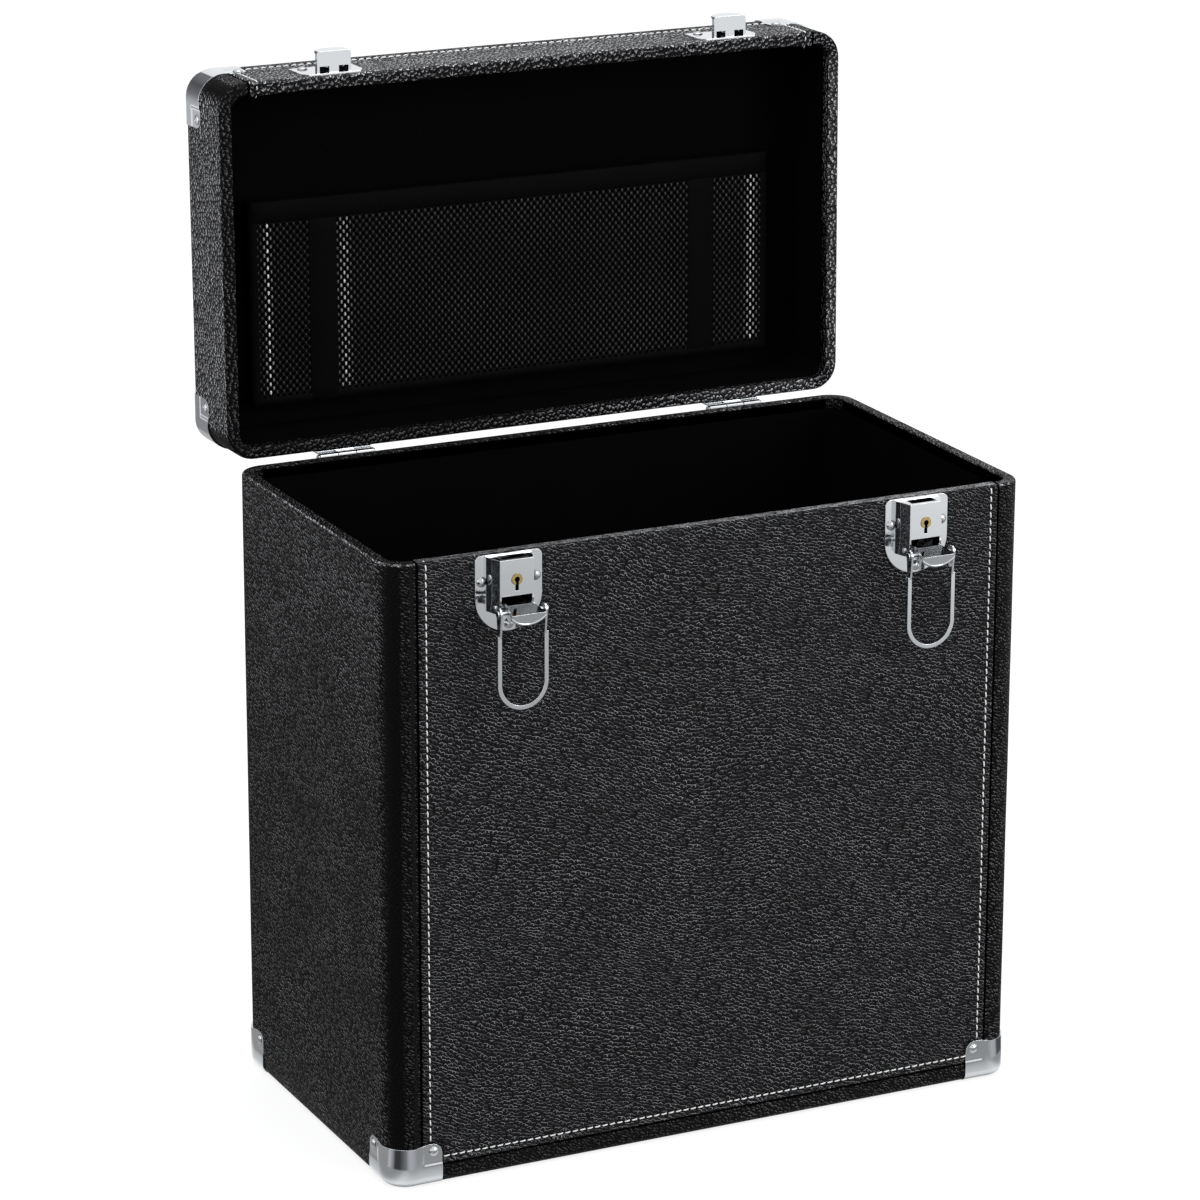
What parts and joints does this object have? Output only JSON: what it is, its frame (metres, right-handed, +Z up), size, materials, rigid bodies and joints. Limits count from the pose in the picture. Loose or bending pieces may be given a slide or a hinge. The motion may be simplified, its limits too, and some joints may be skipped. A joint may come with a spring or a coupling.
{
  "type": "record carrying case",
  "caption": "Upright record carrying case in black stitched leatherette with a hinged lid, pressed chrome corners, key-locking draw latches, a mesh lid pocket and a handle.",
  "frame": {"origin": "centre of the underside of the lower tray", "axes": "+Z up, +X along the width to the viewer's right, -Y out of the latched front"},
  "size_m": [0.3514, 0.2911, 0.5241],
  "materials": {
    "leatherette": "pebbled, low sheen",
    "plywood": "sanded, unfinished",
    "lining": "matt, smooth",
    "mesh": "knitted mesh",
    "chrome": "polished",
    "brass": "polished",
    "steel": "bright"
  },
  "bodies": {
    "base": {"base_walls": "plywood", "base_floor": "plywood", "base_covering": "leatherette", "base_front_panel": "leatherette", "base_lining": "lining", "base_corner_front_left": "chrome", "base_corner_front_right": "chrome", "base_corner_rear_left": "chrome", "base_corner_rear_right": "chrome", "base_corner_rivets": "chrome", "latch_plate_left": "chrome", "latch_plate_right": "chrome", "latch_rivets": "chrome", "lock_housing_left": "chrome", "lock_housing_right": "chrome", "lever_pin_left": "steel", "lever_pin_right": "steel", "hinge_base_leaf_left": "chrome", "hinge_base_leaf_right": "chrome", "hinge_pin_left": "steel", "hinge_pin_right": "steel", "hinge_base_rivets": "chrome"},
    "lid": {"lid_walls": "plywood", "lid_top_board": "plywood", "lid_covering": "leatherette", "lid_front_panel": "leatherette", "lid_lining": "lining", "lid_corner_front_left": "chrome", "lid_corner_front_right": "chrome", "lid_corner_rear_left": "chrome", "lid_corner_rear_right": "chrome", "lid_corner_rivets": "chrome", "catch_left": "chrome", "catch_right": "chrome", "catch_rivets": "chrome", "hinge_lid_leaf_left": "chrome", "hinge_lid_leaf_right": "chrome", "hinge_lid_rivets": "chrome", "pocket_net": "mesh", "pocket_band": "mesh", "pocket_tapes": "mesh", "pocket_gusset": "mesh", "handle_bracket_left": "chrome", "handle_bracket_right": "chrome", "handle_rivets": "chrome"},
    "handle": {"handle_link_left": "chrome", "handle_link_right": "chrome", "handle_grip": "leatherette"},
    "left_lever": {"lever_left": "chrome"},
    "left_bail_pin": {"bail_pin_left": "steel"},
    "left_bail": {"bail_left": "chrome"},
    "left_lock": {"lock_cylinder_left": "brass", "lock_cam_left": "steel"},
    "right_lever": {"lever_right": "chrome"},
    "right_bail_pin": {"bail_pin_right": "steel"},
    "right_bail": {"bail_right": "chrome"},
    "right_lock": {"lock_cylinder_right": "brass", "lock_cam_right": "steel"}
  },
  "joints": [
    {"name": "lid_hinge", "type": "hinge", "parent": "base", "child": "lid", "pos_m": [0, 0.0992, 0.317], "axis": [1, 0, 0], "range_deg": [0, 91]},
    {"name": "handle_swing", "type": "hinge", "parent": "lid", "child": "handle", "pos_m": [0, 0.15592, 0.41523], "axis": [1, 0, 0], "range_deg": [0, 160]},
    {"name": "left_lever_swing", "type": "hinge", "parent": "base", "child": "left_lever", "pos_m": [-0.111, -0.103, 0.294], "axis": [1, 0, 0], "range_deg": [0, 79]},
    {"name": "left_bail_pin_turn", "type": "hinge", "parent": "left_lever", "child": "left_bail_pin", "pos_m": [-0.111, -0.11212, 0.29375], "axis": [1, 0, 0], "range_deg": [-79, 0]},
    {"name": "left_bail_swing", "type": "hinge", "parent": "left_bail_pin", "child": "left_bail", "pos_m": [-0.111, -0.11212, 0.29375], "axis": [-1, 0, 0], "range_deg": [-5, 180]},
    {"name": "left_lock_turn", "type": "hinge", "parent": "base", "child": "left_lock", "pos_m": [-0.111, -0.101, 0.308], "axis": [0, 1, 0], "range_deg": [0, 90]},
    {"name": "right_lever_swing", "type": "hinge", "parent": "base", "child": "right_lever", "pos_m": [0.111, -0.103, 0.294], "axis": [1, 0, 0], "range_deg": [0, 79]},
    {"name": "right_bail_pin_turn", "type": "hinge", "parent": "right_lever", "child": "right_bail_pin", "pos_m": [0.111, -0.11212, 0.29375], "axis": [1, 0, 0], "range_deg": [-79, 0]},
    {"name": "right_bail_swing", "type": "hinge", "parent": "right_bail_pin", "child": "right_bail", "pos_m": [0.111, -0.11212, 0.29375], "axis": [-1, 0, 0], "range_deg": [-5, 180]},
    {"name": "right_lock_turn", "type": "hinge", "parent": "base", "child": "right_lock", "pos_m": [0.111, -0.101, 0.308], "axis": [0, -1, 0], "range_deg": [0, 90]}
  ],
  "couplings": [
    {"joint": "left_bail_pin_turn", "follows": "left_lever_swing", "ratio": -1},
    {"joint": "right_bail_pin_turn", "follows": "right_lever_swing", "ratio": -1}
  ]
}
